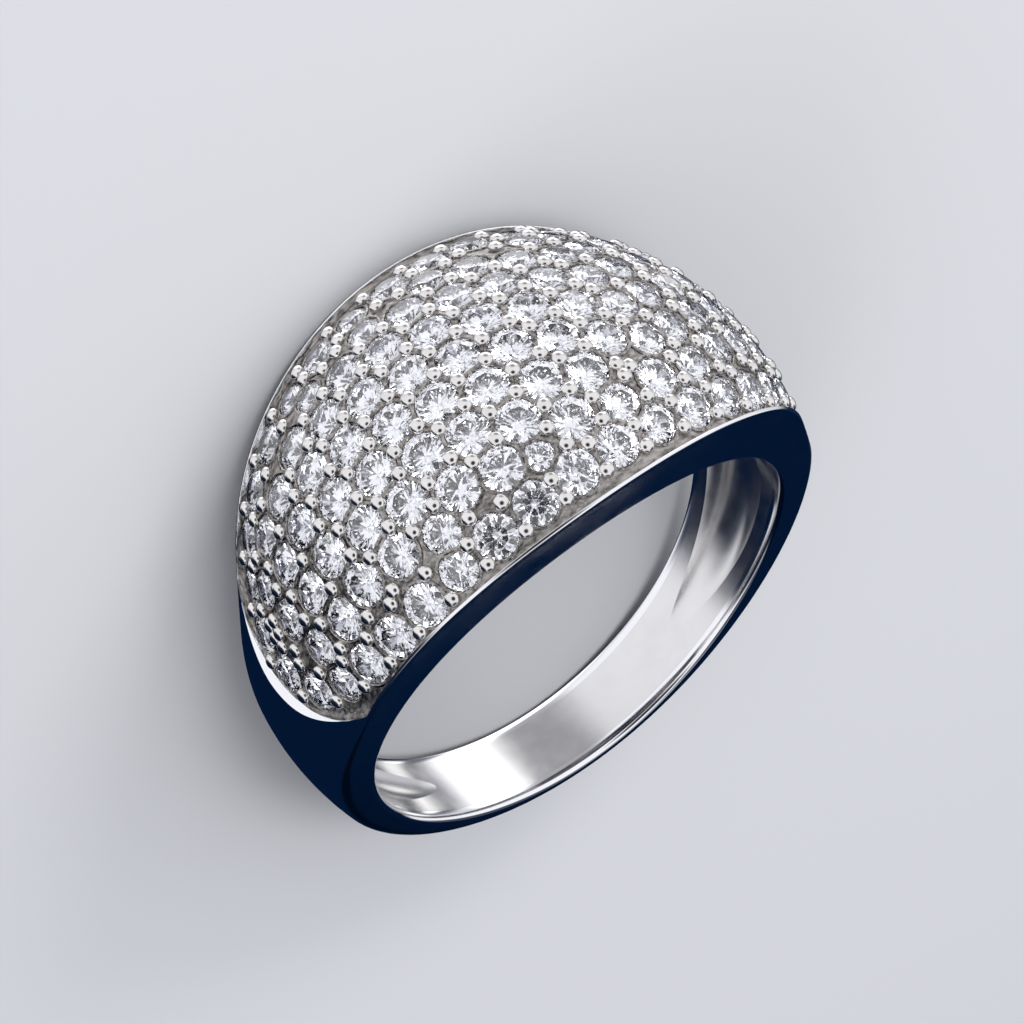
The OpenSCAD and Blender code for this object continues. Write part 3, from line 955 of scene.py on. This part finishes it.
# Soft round patches painted one over another on the tent. Their directions are in degrees as seen
# from the ring: to the right of the camera's place, and above it
tentPatches = {
    # right, above, full within, gone beyond, colour
    "back": (180, 42, 38, 72, (0.70, 0.71, 0.77)),
    "topCard": (-165, 58, 13, 40, (1.9, 1.9, 2.0)),
    "boreGrey": (158, 37, 9, 22, (0.16, 0.17, 0.20)),
    "overhead": (-10, 76, 10, 26, (0.42, 0.42, 0.45)),
    "lamp": (124, 69, 1, 19, (2.1, 2.1, 2.15)),
    "sideCard": (155, 33, 0, 8, (1.6, 1.6, 1.6)),
    "leftShade": (-104, -22, 14, 34, (0.045, 0.055, 0.085)),
    "lowShade": (-92, -46, 24, 42, (0.012, 0.018, 0.036)),
    "rightShade": (95, -22, 12, 32, (0.055, 0.065, 0.095)),
    "underShade": (50, -66, 14, 34, (0.045, 0.055, 0.085)),
    "lowCard": (130, -62, 6, 16, (0.9, 0.9, 0.95)),
    "room": (-178, -30, 53, 64, (0.0010, 0.0080, 0.0310)),
    "roomDeep": (168, -58, 16, 30, (0.0002, 0.0026, 0.0095)),
    "roomGlow": (150, -5, 2, 10, (0.018, 0.045, 0.13)),
    "camera": (3, -4, 12, 29, (0.035, 0.035, 0.04)),
}


def makeFloor():
    # the floor's pale light reaches the ring, but the ring's metal mirrors the tent and the room
    half = stageShape["floorSize"] / 2
    corners = [(-half, -half, 0), (half, -half, 0), (half, half, 0), (-half, half, 0)]
    mesh = bpy.data.meshes.new("floor")
    mesh.from_pydata(corners, [], [(0, 1, 2, 3)])
    material = bpy.data.materials.new("paleFloor")
    material.use_nodes = True
    shader = material.node_tree.nodes["Principled BSDF"]
    shader.inputs["Base Color"].default_value = (*stageShape["floorColour"], 1)
    shader.inputs["Roughness"].default_value = stageShape["floorRoughness"]
    mesh.materials.append(material)
    floor = bpy.data.objects.new("floor", mesh)
    floor.visible_glossy = False
    bpy.context.scene.collection.objects.link(floor)


def makeLamp(name, place, width, height, power, colour):
    # rectangle of light that faces the ring
    light = bpy.data.lights.new(name, "AREA")
    light.shape = "RECTANGLE"
    light.size = width * mm
    light.size_y = height * mm
    light.energy = power
    light.color = colour
    lamp = bpy.data.objects.new(name, light)
    lamp.location = Vector(place) * mm
    lamp.rotation_euler = lamp.location.to_track_quat("Z", "Y").to_euler()
    lamp.visible_glossy = False
    bpy.context.scene.collection.objects.link(lamp)


def makeTent(tentColour, patches):
    # each patch covers what is under it by a smooth step of the angle between two directions
    world = bpy.data.worlds.new("tent")
    world.use_nodes = True
    nodes = world.node_tree.nodes
    links = world.node_tree.links
    place = nodes.new("ShaderNodeTexCoord")
    right, up, back = [Vector(axis[:3]) for axis in bpy.context.scene.camera.matrix_world.transposed()[:3]]
    painted = None
    for name, (turn, climb, inner, outer, colour) in patches.items():
        turn, climb = math.radians(turn), math.radians(climb)
        level = math.sin(turn) * right + math.cos(turn) * back
        along = nodes.new("ShaderNodeVectorMath")
        along.operation = "DOT_PRODUCT"
        along.inputs[1].default_value = math.cos(climb) * level + math.sin(climb) * up
        links.new(place.outputs["Generated"], along.inputs[0])
        step = nodes.new("ShaderNodeMapRange")
        step.interpolation_type = "SMOOTHSTEP"
        step.inputs["From Min"].default_value = math.cos(math.radians(outer))
        step.inputs["From Max"].default_value = math.cos(math.radians(inner))
        links.new(along.outputs["Value"], step.inputs["Value"])
        mix = nodes.new("ShaderNodeMix")
        mix.data_type = "RGBA"
        mix.label = name
        mix.inputs[6].default_value = (*tentColour, 1)
        mix.inputs[7].default_value = (*colour, 1)
        links.new(step.outputs["Result"], mix.inputs[0])
        if painted:
            links.new(painted, mix.inputs[6])
        painted = mix.outputs[2]
    links.new(painted, nodes["Background"].inputs["Color"])
    bpy.context.scene.world = world


makeFloor()
for name, (place, width, height, power, colour) in lamps.items():
    makeLamp(name, place, width, height, power, colour)
makeTent(stageShape["tentColour"], tentPatches)

scene = bpy.context.scene
scene.view_settings.view_transform = "Standard"
scene.cycles.max_bounces = 16
scene.cycles.glossy_bounces = 8
scene.cycles.transmission_bounces = 14
scene.cycles.caustics_reflective = False
scene.cycles.caustics_refractive = False
print("stage set")
